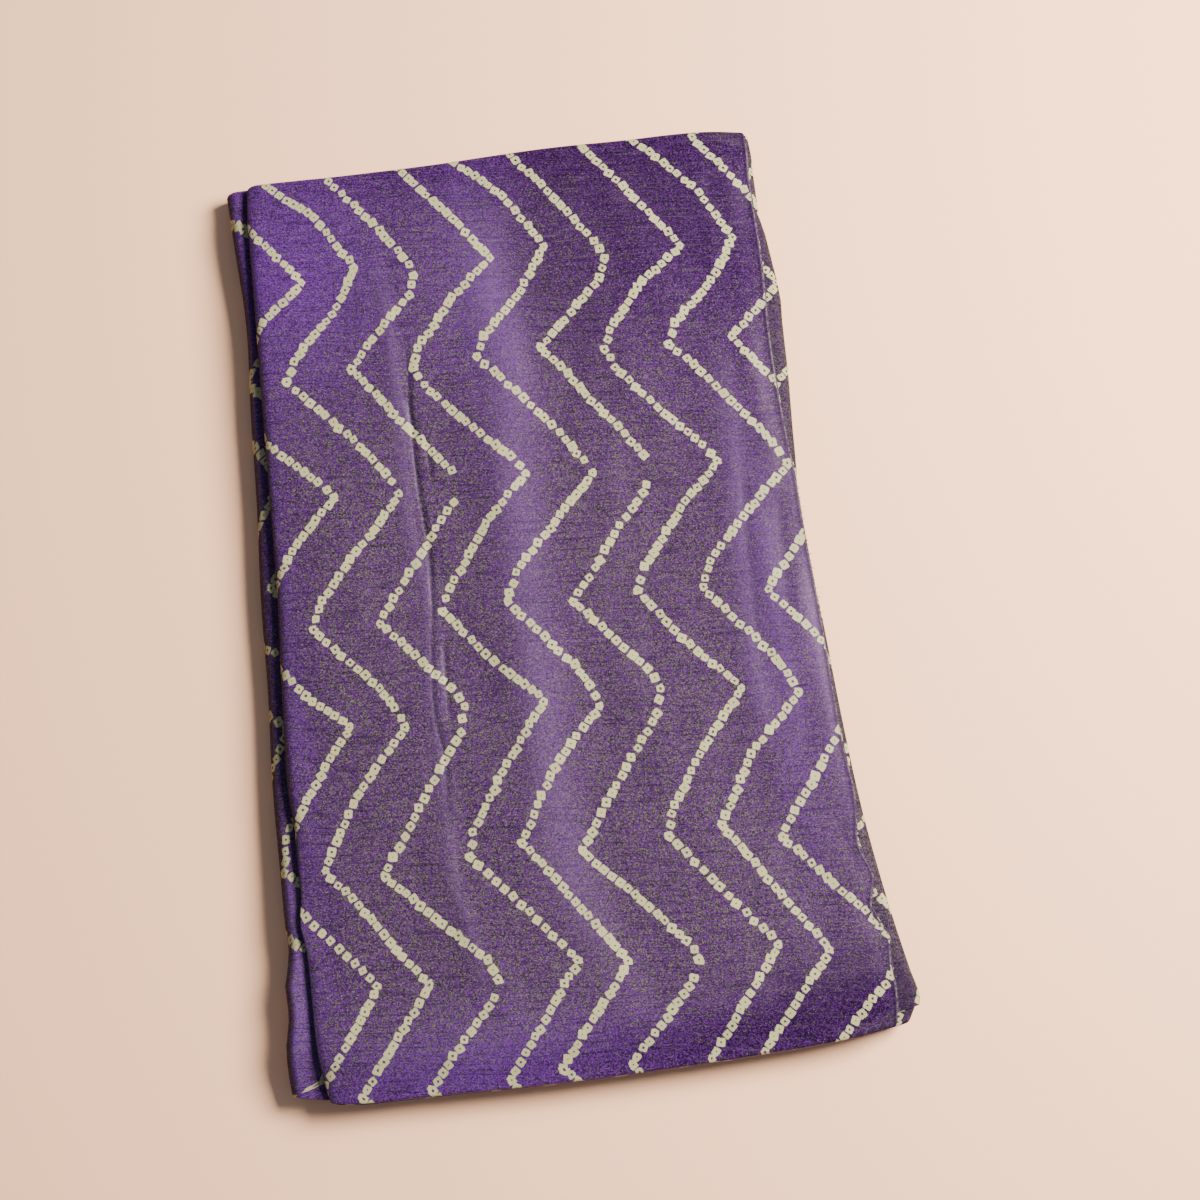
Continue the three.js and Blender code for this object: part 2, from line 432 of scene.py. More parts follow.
class SmoothTable:
    """A short table of rows, read on a smooth curve through them. Its first column is the key."""

    def __init__(self, rows: Sequence[NamedTuple]) -> None:
        """Keeps the rows' values.

        Args:
            rows: The rows, in the order of their keys.
        """
        self._columns = rows[0]._fields
        self._values = np.array(rows, float)

    def column(self, name: str) -> np.ndarray:
        """The values of one column."""
        return self._values[:, self._columns.index(name)]

    def read(self, name: str, place: np.ndarray) -> np.ndarray:
        """The value of a column at given places along the key column.

        Args:
            name: The column.
            place: The places.

        Returns:
            The column's value at each place.
        """
        keys = self._values[:, 0]
        values = self.column(name)
        last = len(keys) - 1
        before = np.maximum(np.arange(last + 1) - 1, 0)
        after = np.minimum(np.arange(last + 1) + 1, last)
        slopes = (values[after] - values[before]) / (keys[after] - keys[before])
        i = np.searchsorted(keys[1:last], place)
        width = keys[i + 1] - keys[i]
        t = np.clip((place - keys[i]) / width, 0.0, 1.0)
        bend = t * t * (3.0 - 2.0 * t)
        pull = slopes[i] * t * (1.0 - t) ** 2 - slopes[i + 1] * t * t * (1.0 - t)
        return values[i] * (1.0 - bend) + values[i + 1] * bend + width * pull


class Ply(Enum):
    """The three plies of a leg and the rolled edges that join them."""

    OUTER = 0
    FAR_ROLL = 1
    TOP = 2
    NEAR_ROLL = 3
    MIDDLE = 4


@dataclass
class PathSteps:
    """The middle line of the back-and-forth legs, as weights that hold for every section.

    x is the sum of the edges' reaches by weight, plus dx. The other arrays are the height, the
    direction that the plies are stacked in, the leg's number and the share of the way along it.
    """

    weights: list[list[float]] = field(default_factory=list)
    dx: list[float] = field(default_factory=list)
    z: list[float] = field(default_factory=list)
    nx: list[float] = field(default_factory=list)
    nz: list[float] = field(default_factory=list)
    slip: list[float] = field(default_factory=list)

    def add(self, weights: list[float], dx: float, z: float, n: tuple[float, float],
            slip: float) -> None:
        """Adds a step.

        Args:
            weights: The weight of each edge's reach.
            dx: What is added to the weighted reach.
            z: The height of the middle line.
            n: The direction that the plies are stacked in, across and up.
            slip: How far round the slow shift of the legs' ends is here, from 0 to 1.
        """
        self.weights.append(weights)
        self.dx.append(dx)
        self.z.append(z)
        self.nx.append(n[0])
        self.nz.append(n[1])
        self.slip.append(slip)


class PlyStep(NamedTuple):
    """A place on the middle line of the three plies along Y.

    n is the height in the stack of plies, my and mn the direction of the cloth's thickness, and
    v the place along the cloth that the print is read at.
    """

    y: float
    n: float
    my: float
    mn: float
    v: float
    ply: Ply


@dataclass
class FoldedSilk:
    """The whole cloth: one thin sheet in four legs of three plies."""

    sheet: float = 0.8
    outline_half: float = 0.65
    ply_pitch: float = 1.85
    leg_pitch: float = 5.8
    end_low: float = -221.5
    end_high: float = 217.5
    loose_edge: float = 5.0
    end_droop: float = 0.2
    droop_length: float = 24.0
    rise_width: float = 17.0
    wave_height: float = 0.5
    wave_across: float = 96.0
    wave_along: float = 300.0
    leg_slip: float = 1.6
    puff_round: float = 0.03
    puff_beyond: float = 0.42
    puff_steps: Span = (-1.0, 1.5)
    top_ply_depths: Span = (1.85, 0.8)
    top_heights: Span = (19.5, 21.0)
    side_shade_tilts: Span = (0.45, 0.9)
    shot_places: Span = (98.0, 108.0)
    shot_heights: Span = (18.5, 17.0)
    crease_angle: float = 55.0
    leg_share: float = 0.67
    slip_cut: float = 0.27
    puff_from: float = -98.0
    puff_reach: float = 34.0
    rim_drop: float = 0.9
    rim_reach: float = 12.0
    open_edge_steps: tuple[float, float, float] = (0.9, -1.6, 0.0)
    top_spans: tuple[tuple[float, float], ...] = (
        (-74, 2.9), (-68, 1.6), (-46, 1.05), (76, 2.9), (112, 1.9), (118, 1.2),
    )
    lower_leg_steps: tuple[int, int, int] = (14, 22, 26)
    turn_steps: int = 12
    outer_roll_steps: int = 12
    inner_roll_steps: int = 8
    top_ply_step: float = 5.6
    hidden_ply_step: float = 11.0
    end_step: float = 1.8
    end_reach: float = 17.0

    def __post_init__(self) -> None:
        """Works out the sizes that follow from the others."""
        self.half_sheet = self.sheet / 2
        self.leg_half = self.ply_pitch + self.half_sheet
        self.leg_turn = self.leg_pitch / 2
        self.fold_inset = self.leg_turn + self.ply_pitch + self.outline_half
        self.legs = len(self.lower_leg_steps) + 1
        self.stack_height = (self.legs - 1) * self.leg_pitch + 2 * self.leg_half
        self.sections = SmoothTable(SECTIONS)
        self.ends = SmoothTable(ENDS)
        self.puffs = SmoothTable(PUFFS)

    def leg_shares(self, leg: int) -> np.ndarray:
        """Places along one leg.

        Args:
            leg: The leg's number, from the bottom.

        Returns:
            The share of the leg that lies before each place, from 0 to 1.
        """
        if leg < self.legs - 1:
            return np.linspace(0.0, 1.0, self.lower_leg_steps[leg] + 1)
        start = float(self.sections.read("upper_left", np.array(0.0))) + self.fold_inset
        places = [start]
        for end, step in self.top_spans:
            count = max(1, round((end - places[-1]) / step))
            places.extend(np.linspace(places[-1], end, count + 1)[1:])
        row = np.array(places)
        return (row - row[0]) / (row[-1] - row[0])

    def path_steps(self) -> PathSteps:
        """The middle line of the legs, from the bottom open edge to the top one."""
        steps = PathSteps()
        edges = len(Edge)
        for leg in range(self.legs):
            z = self.leg_half + leg * self.leg_pitch
            goes_left = leg % 2 == 0
            up = -1.0 if goes_left else 1.0
            for share in self.leg_shares(leg):
                weights = [0.0] * edges
                weights[leg] = 1.0 - share
                weights[leg + 1] = share
                slip = (leg + share * self.leg_share) / (self.legs - self.slip_cut)
                steps.add(weights, 0.0, z, (0.0, up), slip)
            if leg == self.legs - 1:
                break
            swing = -1.0 if goes_left else 1.0
            for step in range(1, self.turn_steps):
                turned = step / self.turn_steps
                angle = math.pi * (turned - 0.5)
                dx = swing * math.cos(angle)
                dz = math.sin(angle)
                weights = [0.0] * edges
                weights[leg + 1] = 1.0
                turn_z = z + self.leg_turn + self.leg_turn * dz
                slip = (leg + self.leg_share + turned * (1 - self.leg_share)) / (self.legs - self.slip_cut)
                steps.add(weights, self.leg_turn * dx, turn_z, (-swing * dx, -swing * dz), slip)
        return steps

    def spread(self, start: float, end: float, step: float) -> list[float]:
        """Places along a ply, closer together near the rolled ends.

        Args:
            start: The first place, the lower one.
            end: The last place.
            step: The distance between places away from the ends.

        Returns:
            The places, from start to end.
        """
        near = max(2, round(self.end_reach / self.end_step))
        middle = max(2, round((end - start - 2 * self.end_reach) / step))
        low = np.linspace(start, start + self.end_reach, near + 1)
        mid = np.linspace(start + self.end_reach, end - self.end_reach, middle + 1)
        high = np.linspace(end - self.end_reach, end, near + 1)
        return [*low[:-1], *mid[:-1], *high]

    def ply_steps(self) -> list[PlyStep]:
        """The middle line of the plies, from the outer ply's loose edge to the middle one's."""
        p = self.ply_pitch
        near = self.end_low + p / 2 + self.outline_half
        far = self.end_high - p - self.outline_half
        far_turn = math.pi * p
        near_turn = math.pi * p / 2
        steps = []
        for y in self.spread(near + self.loose_edge, far, self.hidden_ply_step):
            steps.append(PlyStep(y, -p, 0.0, -1.0, 2 * far + far_turn - y, Ply.OUTER))
        for step in range(1, self.outer_roll_steps):
            turned = step / self.outer_roll_steps
            my = math.cos(math.pi * (turned - 0.5))
            mn = math.sin(math.pi * (turned - 0.5))
            v = far + far_turn * (1 - turned)
            steps.append(PlyStep(far + p * my, p * mn, my, mn, v, Ply.FAR_ROLL))
        for y in reversed(self.spread(near, far, self.top_ply_step)):
            steps.append(PlyStep(y, p, 0.0, 1.0, y, Ply.TOP))
        for step in range(1, self.inner_roll_steps):
            turned = step / self.inner_roll_steps
            my = -math.cos(math.pi * (turned - 0.5))
            mn = -math.sin(math.pi * (turned - 0.5))
            v = near - near_turn * turned
            steps.append(PlyStep(near + p / 2 * my, p / 2 * (1 + mn), my, mn, v, Ply.NEAR_ROLL))
        for y in self.spread(near, far - self.loose_edge, self.hidden_ply_step):
            steps.append(PlyStep(y, 0.0, 0.0, -1.0, 2 * near - near_turn - y, Ply.MIDDLE))
        return steps

    def edge_reach(self, y: np.ndarray) -> np.ndarray:
        """Where the legs turn or end in each section.

        Args:
            y: Places along the package.

        Returns:
            The reach of each turn's centre or open edge, one row of places for each edge.
        """
        rows = []
        for edge in Edge:
            reach = self.sections.read(edge.value, y)
            out = sum(b.out * np.exp(-(((y - b.y) / b.half_width) ** 2)) for b in BUMPS if b.edge is edge)
            if edge in (Edge.LOWER_LEFT, Edge.UPPER_LEFT):
                rows.append(reach - out + self.fold_inset)
            elif edge is Edge.FOLD_RIGHT:
                rows.append(reach + out - self.fold_inset)
            else:
                rows.append(reach + out)
        return np.stack(rows)

    def top_relief(self, x: np.ndarray, y: np.ndarray) -> np.ndarray:
        """How far the fine creases and swells lift the top ply at given places."""
        lift = sum(s.height * np.sin(math.tau * (x / s.across + y / s.along) + s.start) for s in SWELLS)
        return lift + sum(crease.relief(x, y) for crease in CREASES)

    def settle(self, x: np.ndarray, y: np.ndarray, z: np.ndarray, slip: np.ndarray) -> np.ndarray:
        """Moves places of the straight stack to where they lie in the uneven one.

        Args:
            x: Places across the package.
            y: Places along it.
            z: Heights.
            slip: How far round the slow shift of the legs' ends is, from 0 to 1.

        Returns:
            The settled places, with X, Y and Z on the last axis.
        """
        low = self.ends.read("low", x)
        high = self.ends.read("high", x)
        along = (y - self.end_low) / (self.end_high - self.end_low)
        height = z / self.stack_height
        at_left = ease((self.puff_from - x) / self.puff_reach)
        off_middle = np.sqrt(((2 * height - 1) ** 2 + self.puff_round) / (1 + self.puff_round))
        beyond = soft_step(self.sections.read("upper_left", y) - x, *self.puff_steps)
        swollen = at_left * (1.0 + self.puff_beyond * beyond)
        z = z + self.puffs.read("lift", y) * (1 - off_middle) * swollen
        from_end = np.minimum(y - self.end_low, self.end_high - y)
        droop = self.end_droop * (1.0 - ease(from_end / self.droop_length))
        crown = self.sections.read("crown", y)
        ridge = self.sections.read("rise", y) * np.exp(-(((x - crown) / self.rise_width) ** 2))
        across_wave = np.cos(math.tau * x / self.wave_across)
        swell = self.wave_height * across_wave * np.cos(math.tau * y / self.wave_along)
        shift = self.leg_slip * np.sin(math.tau * slip) * np.abs(2 * along - 1) * (1 - height)
        settled_y = low + along * (high - low) + shift
        settled_z = z * (1 - droop) + height**2 * (ridge + swell)
        return np.stack([x, settled_y, settled_z], axis=-1)

    def sheet_places(self) -> dict[str, np.ndarray]:
        """Where every point of the sheet lies.

        Returns:
            Arrays with a path step on the first axis, a ply step on the second and the cloth's
            two faces on the third: places, the print's u and v, and the distance to the nearer
            open edge, measured over the cloth.
        """
        path = self.path_steps()
        plies = self.ply_steps()
        face = np.array([-self.half_sheet, self.half_sheet])
        ply_y = np.array([step.y for step in plies])
        ply_n = np.array([step.n for step in plies])
        y = ply_y[:, None] + face * np.array([step.my for step in plies])[:, None]
        n = ply_n[:, None] + face * np.array([step.mn for step in plies])[:, None]
        nx = np.array(path.nx)[:, None, None]
        nz = np.array(path.nz)[:, None, None]
        middle = np.tensordot(np.array(path.weights), self.edge_reach(y), axes=1)
        middle = middle + np.array(path.dx)[:, None, None]
        x = middle + n * nx
        z = np.array(path.z)[:, None, None] + n * nz

        plain = np.tensordot(np.array(path.weights), self.edge_reach(ply_y), axes=1)
        plain_x = plain + np.array(path.dx)[:, None] + ply_n * np.array(path.nx)[:, None]
        plain_z = np.array(path.z)[:, None] + ply_n * np.array(path.nz)[:, None]
        gaps = np.hypot(np.diff(plain_x, axis=0), np.diff(plain_z, axis=0))
        u = np.vstack([np.zeros((1, len(plies))), np.cumsum(gaps, axis=0)])
        to_edge = np.minimum(u, u[-1] - u)
        width = float(u[-1].mean())
        u = u - u[-1] + plain_x[-1]

        near_edge = ease(1.0 - to_edge / (3 * self.rim_reach))[..., None]
        p = self.ply_pitch
        x = x + near_edge * np.interp(ply_n, [-p, 0.0, p], self.open_edge_steps)[:, None]
        on_top_leg = np.array(path.z)[:, None, None] > self.stack_height - 2 * self.leg_half
        drop = self.rim_drop * (n + p) / (2 * p) * ease(1.0 - to_edge / self.rim_reach)[..., None]
        settled = self.settle(x, y, z - drop * on_top_leg, np.array(path.slip)[:, None, None])
        top_ply = soft_step(self.stack_height - z, *self.top_ply_depths)
        lift = np.zeros(z.shape)
        raised = top_ply > 0
        lift[raised] = self.top_relief(settled[..., 0][raised], settled[..., 1][raised])
        settled[..., 2] += top_ply * lift

        moved = settled[..., 1].mean(axis=2) - ply_y
        for number, step in enumerate(plies):
            if step.ply in (Ply.OUTER, Ply.FAR_ROLL):
                moved[:, number] = moved[:, [s.ply for s in plies].index(Ply.TOP)]
            elif step.ply in (Ply.NEAR_ROLL, Ply.MIDDLE):
                moved[:, number] = moved[:, [s.ply for s in plies].index(Ply.NEAR_ROLL) - 1]
        v = np.array([step.v for step in plies]) + moved
        length = float(np.ptp([step.v for step in plies]))
        log.info("cloth lies flat at %.0f by %.0f mm", width, length)
        self.flat = (width, length)
        return {"places": settled, "u": u, "v": v, "to_edge": to_edge}

    def sheet_faces(self, rows: int, columns: int) -> np.ndarray:
        """The corners of the sheet's four-sided faces.

        Args:
            rows: How many path steps there are.
            columns: How many ply steps there are.

        Returns:
            Four corners a row: the cloth's lower face, its upper face, then its cut edges.
        """
        corner = np.arange(rows * columns * 2).reshape(rows, columns, 2)

        def band(a: np.ndarray, b: np.ndarray, c: np.ndarray, d: np.ndarray) -> np.ndarray:
            """Four-sided faces between four like arrays of corners."""
            return np.stack([a, b, c, d], axis=-1).reshape(-1, 4)

        here = corner[:-1, :-1]
        on = corner[:-1, 1:]
        over = corner[1:, 1:]
        back = corner[1:, :-1]
        first = corner[:, 0]
        last = corner[:, -1]
        start = corner[0]
        end = corner[-1]
        return np.vstack([
            band(back[..., 0], over[..., 0], on[..., 0], here[..., 0]),
            band(here[..., 1], on[..., 1], over[..., 1], back[..., 1]),
            band(first[:-1, 0], first[:-1, 1], first[1:, 1], first[1:, 0]),
            band(last[:-1, 1], last[:-1, 0], last[1:, 0], last[1:, 1]),
            band(start[:-1, 0], start[1:, 0], start[1:, 1], start[:-1, 1]),
            band(end[:-1, 1], end[1:, 1], end[1:, 0], end[:-1, 0]),
        ])

    def banded(self, bands: Sequence[Band], x: np.ndarray, y: np.ndarray) -> np.ndarray:
        """How strongly given places lie in any of some bands, from 0 to 1."""
        plain = np.ones(x.shape)
        for band in bands:
            gap, along, length = place_on_route(band.route, x, y)
            window = ease(along / band.fade) * ease((length - along) / band.fade)
            plain *= 1.0 - band.amount * np.exp(-((gap / band.half_width) ** 2)) * window
        return 1.0 - plain

    def lean(self, shade: Shade, x: np.ndarray, y: np.ndarray) -> np.ndarray:
        """How far the colour leans towards a shade at given places, from 0 to 1."""
        plain = np.ones(x.shape)
        for patch in PATCHES:
            if patch.shade is shade:
                near = ((x - patch.x) / patch.half_x) ** 2 + ((y - patch.y) / patch.half_y) ** 2
                plain *= 1.0 - patch.amount * np.exp(-near)
        return 1.0 - plain

    def build(self) -> bpy.types.Object:
        """Makes the cloth's object.

        Returns:
            The object, with the print's UV map and the attributes that its finish reads.
        """
        made = self.sheet_places()
        places = made["places"]
        rows, columns = places.shape[:2]
        points = places.reshape(-1, 3)
        middle_x = (self.sections.column("lower_left").min() + self.sections.column("fold_right").max()) / 2
        middle_y = (self.end_low + self.end_high) / 2
        low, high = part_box(CLOTH_NODE)
        shift = np.array([(low.x + high.x) / 2, (low.y + high.y) / 2, low.z])
        shift -= np.array([middle_x, middle_y, 0.0]) * MM
        faces = self.sheet_faces(rows, columns)
        mesh = bpy.data.meshes.new("silk_cloth")
        mesh.from_pydata((points * MM + shift).tolist(), [], faces.tolist())
        mesh.update()
        mesh.shade_smooth()
        mesh.set_sharp_from_angle(angle=math.radians(self.crease_angle))

        u = np.repeat(made["u"].reshape(-1), 2)
        v = np.repeat(made["v"].reshape(-1), 2)
        corners = np.empty(len(mesh.loops), int)
        mesh.loops.foreach_get("vertex_index", corners)
        chart = mesh.uv_layers.new(name="cloth")
        chart.data.foreach_set("uv", (np.stack([u, v], axis=1)[corners] * MM).ravel())

        def keep(name: str, values: np.ndarray) -> None:
            """Stores a number for every point of the mesh."""
            layer = mesh.attributes.new(name, "FLOAT", "POINT")
            layer.data.foreach_set("value", values.astype(float).ravel())

        on_top = soft_step(points[:, 2], *self.top_heights)
        # Where the finish paints lilac highlights down the ridges of the top.
        keep("painted_highlight", self.banded(PAINTED_HIGHLIGHTS, points[:, 0], points[:, 1]) * on_top)
        # Where the finish paints shade down the sharp creases and troughs.
        keep("crease_shade", self.banded(PAINTED_CREASE_SHADES, points[:, 0], points[:, 1]) * on_top)
        # Patches of left-out painted sheen, painted shade and painted light.
        for shade in Shade:
            keep(shade.value, self.lean(shade, points[:, 0], points[:, 1]))
        upright = np.empty(3 * len(points))
        mesh.vertices.foreach_get("normal", upright)
        # Where the cloth faces sideways: its finish paints shade there and makes it matt.
        keep("side", soft_step(np.abs(upright[0::3]), *self.side_shade_tilts))
        # The right fold's strip below the top, which the finish paints darker as painted shade, and more
        # olive, and makes matt.
        below_top = soft_step(points[:, 2], *self.shot_heights)
        keep("shot", soft_step(points[:, 0], *self.shot_places) * below_top)
        keep("to_edge", np.repeat(made["to_edge"].reshape(-1), 2))
        cloth = bpy.data.objects.new("silk_cloth", mesh)
        bpy.context.scene.collection.objects.link(cloth)
        on_top = [number for number, step in enumerate(self.ply_steps()) if step.ply is Ply.TOP]
        self.open_edge = places[-1, on_top].mean(axis=1) * MM + shift
        return cloth


@dataclass(frozen=True)
class Wire:
    """A socket whose sums, products and comparisons add Math nodes to its tree."""

    board: "NodeBoard"
    socket: bpy.types.NodeSocket

    def __add__(self, other: "Term") -> "Wire":
        """The sum."""
        return self.board.maths("ADD", self, other)

    __radd__ = __add__

    def __sub__(self, other: "Term") -> "Wire":
        """The difference."""
        return self.board.maths("SUBTRACT", self, other)

    def __rsub__(self, other: "Term") -> "Wire":
        """The difference, taken from other."""
        return self.board.maths("SUBTRACT", other, self)

    def __mul__(self, other: "Term") -> "Wire":
        """The product."""
        return self.board.maths("MULTIPLY", self, other)

    __rmul__ = __mul__

    def __truediv__(self, other: "Term") -> "Wire":
        """The quotient."""
        return self.board.maths("DIVIDE", self, other)

    def __abs__(self) -> "Wire":
        """The size without its sign."""
        return self.board.maths("ABSOLUTE", self)

    def __gt__(self, other: "Term") -> "Wire":
        """1 where this is more than other, else 0."""
        return self.board.maths("GREATER_THAN", self, other)

    def rounded(self) -> "Wire":
        """The nearest whole number."""
        return self.board.maths("ROUND", self)

    def fraction(self) -> "Wire":
        """What is left over the whole number below."""
        return self.board.maths("FRACT", self)

    def at_least(self, other: "Term") -> "Wire":
        """The larger of the two."""
        return self.board.maths("MAXIMUM", self, other)

    def between(self, low: float, high: float) -> "Wire":
        """From low where this is 0 to high where it is 1."""
        return self * (high - low) + low

    def rise(self, low: "Term", high: "Term") -> "Wire":
        """A smooth step that is 0 up to low and 1 from high."""
        settings = {"interpolation_type": "SMOOTHSTEP"}
        inputs = {"Value": self, "From Min": low, "From Max": high}
        return self.board.wire(self.board.add("ShaderNodeMapRange", settings, inputs))


Term = Wire | float
Triple = tuple[float, float, float]
Colour = tuple[float, float, float, float]


class Grain(NamedTuple):
    """A smooth noise: its lengths across and along in millimetres, and its slice of the noise.

    detail is how many finer noises are added, and rough how strong each is against the last.
    """

    across: float
    along: float
    slice: float
    detail: float = 0.0
    rough: float = 0.5


class NodeBoard:
    """A node tree while it is put together."""

    def __init__(self, tree: bpy.types.NodeTree) -> None:
        """Clears the tree.

        Args:
            tree: The tree.
        """
        self.tree = tree
        self.tree.nodes.clear()

    def add(self, kind: str, settings: Mapping[str, Any] | None = None,
            inputs: Mapping[str | int, Any] | None = None) -> bpy.types.Node:
        """Adds a node.

        Args:
            kind: The node's type.
            settings: Its own properties, set first. curve holds a curve's points.
            inputs: The values or links of its sockets.

        Returns:
            The node.
        """
        node = self.tree.nodes.new(kind)
        for name, value in (settings or {}).items():
            if name == "curve":
                self.set_curve(node, value)
            else:
                setattr(node, name, value)
        for key, value in (inputs or {}).items():
            if isinstance(value, Wire):
                self.tree.links.new(value.socket, node.inputs[key])
            else:
                node.inputs[key].default_value = value
        return node

    def set_curve(self, node: bpy.types.Node, points: Sequence[tuple[float, float]]) -> None:
        """Gives a curve node straight stretches between points."""
        curve = node.mapping.curves[0]
        curve.points[0].location = points[0]
        curve.points[1].location = points[-1]
        for place in points[1:-1]:
            curve.points.new(*place)
        for point in curve.points:
            point.handle_type = "VECTOR"
        node.mapping.update()

    def wire(self, node: bpy.types.Node, output: str | int = 0) -> Wire:
        """One of a node's outputs."""
        return Wire(self, node.outputs[output])

    def maths(self, operation: str, *terms: Term) -> Wire:
        """The result of a Math node."""
        node = self.add("ShaderNodeMath", {"operation": operation}, dict(enumerate(terms)))
        return self.wire(node)

    def mix(self, share: Term, start: Wire | Colour, end: Wire | Colour) -> Wire:
        """A colour between two.

        Args:
            share: How much of end there is, from 0 to 1.
            start: The first colour.
            end: The second colour.

        Returns:
            The colour.
        """
        node = self.add("ShaderNodeMix", {"data_type": "RGBA"}, {0: share, 6: start, 7: end})
        return self.wire(node, 2)

    def vector(self, x: Term, y: Term, z: Term = 0.0) -> Wire:
        """A vector put together from numbers."""
        return self.wire(self.add("ShaderNodeCombineXYZ", None, {"X": x, "Y": y, "Z": z}))

    def noise(self, grain: Grain, x: Wire, y: Wire) -> Wire:
        """Smooth noise, a number about 0.5, at a place in millimetres."""
        place = self.vector(x / grain.across, y / grain.along, grain.slice)
        inputs = {"Vector": place, "Scale": 1.0, "Detail": grain.detail, "Roughness": grain.rough}
        return self.wire(self.add("ShaderNodeTexNoise", None, inputs))

    def lot(self, *place: Term) -> tuple[Wire, Wire, Wire, Wire]:
        """Four random numbers of a place that is counted in whole numbers.

        Args:
            place: The place's three numbers.

        Returns:
            The random numbers, from 0 to 1.
        """
        inputs = {"Vector": self.vector(*place)}
        noise = self.add("ShaderNodeTexWhiteNoise", {"noise_dimensions": "3D"}, inputs)
        parts = self.add("ShaderNodeSeparateColor", None, {"Color": self.wire(noise, "Color")})
        return self.wire(noise), *(self.wire(parts, name) for name in ("Red", "Green", "Blue"))

    def attribute(self, name: str) -> Wire:
        """A number that a mesh stores at its points."""
        return self.wire(self.add("ShaderNodeAttribute", {"attribute_name": name}), "Fac")

    def place(self, node: bpy.types.Node, output: str) -> tuple[Wire, Wire]:
        """The place across and along in millimetres, from a node that gives it in metres."""
        parts = self.add("ShaderNodeSeparateXYZ", None, {"Vector": self.wire(node, output)})
        return self.wire(parts, "X") / MM, self.wire(parts, "Y") / MM


def new_material(name: str) -> tuple[bpy.types.Material, NodeBoard]:
    """A new material, and the board that its tree is put together on."""
    material = bpy.data.materials.new(name)
    material.use_nodes = True
    return material, NodeBoard(material.node_tree)


def paint(red: float, green: float, blue: float) -> Colour:
    """A linear colour for a shader's socket."""
    return (red, green, blue, 1.0)


class Apex(Enum):
    """How a dotted line turns back at one of its corners."""

    CLOSED = "closed"
    OPEN = "open"


class Turn(NamedTuple):
    """A corner of a dotted line: its place along and across the cloth, and how it turns."""

    y: float
    x: float
    dot_pitch: float = 4.4
    apex: Apex = Apex.CLOSED


@dataclass(frozen=True)
class DottedLine:
    """One of the zigzag lines, over a whole repeat of the print along the cloth."""

    name: str
    turns: tuple[Turn, ...]

    def dot_numbers(self) -> list[int]:
        """The number of the dot at each corner, counted along the line."""
        numbers = [0]
        for a, b in zip(self.turns, self.turns[1:]):
            numbers.append(numbers[-1] + max(1, round(math.hypot(b.x - a.x, b.y - a.y) / a.dot_pitch)))
        return numbers


LINES = (
    DottedLine("first", (
        Turn(-274.2, -9.5), Turn(-218.3, -51), Turn(-169.4, -13.3, 5.0), Turn(-118.5, -55.4, 5.0),
        Turn(-107.2, -52.5), Turn(-81.6, -36.5), Turn(-51.5, -12.5), Turn(-34.3, -30), Turn(-22.7, -39.5),
        Turn(-4.3, -54, 5.0), Turn(6.8, -49), Turn(37.3, -26), Turn(55.5, -6.7, 4.9), Turn(64.4, -13.5),
        Turn(83.2, -32), Turn(103.9, -49, 4.9), Turn(112.8, -52.9, 4.6), Turn(121.9, -49), Turn(144.8, -30),
        Turn(161.8, -9.5),
    )),
    DottedLine("second", (
        Turn(-270.7, 15.9), Turn(-243.7, 0), Turn(-216.5, -27), Turn(-172.5, 8.8), Turn(-114.3, -31.5),
        Turn(-82.3, -12.5), Turn(-55.4, 12.5, 5.0), Turn(-45.9, 8.6), Turn(-35.9, 3),
        Turn(-4.1, -23.7, 5.2), Turn(8.9, -18), Turn(25.5, -2.6), Turn(53.6, 24.1, 5.4),
        Turn(60.2, 20.5), Turn(74.7, 11), Turn(106.1, -15), Turn(114, -22.4, 4.8), Turn(123.7, -17.8),
        Turn(144.5, 2.2), Turn(155.6, 10), Turn(165.3, 15.9),
    )),
    DottedLine("third", (
        Turn(-278.7, 43.3, 6.0), Turn(-273.5, 41.6, 5.0), Turn(-264.7, 37), Turn(-218, 3.5),
        Turn(-181.9, 36.5, 7.5), Turn(-174, 40, 5.6), Turn(-165.1, 36), Turn(-121.1, -5.6, 5.0),
        Turn(-60.9, 37, 5.8), Turn(-49.8, 40.8, 5.8), Turn(-39.9, 35.5), Turn(-6.3, 6, 4.8),
        Turn(53.8, 53.8, 4.4, Apex.OPEN), Turn(116.2, 7.8), Turn(148.1, 40, 6.4),
        Turn(157.3, 43.3),
    )),
)


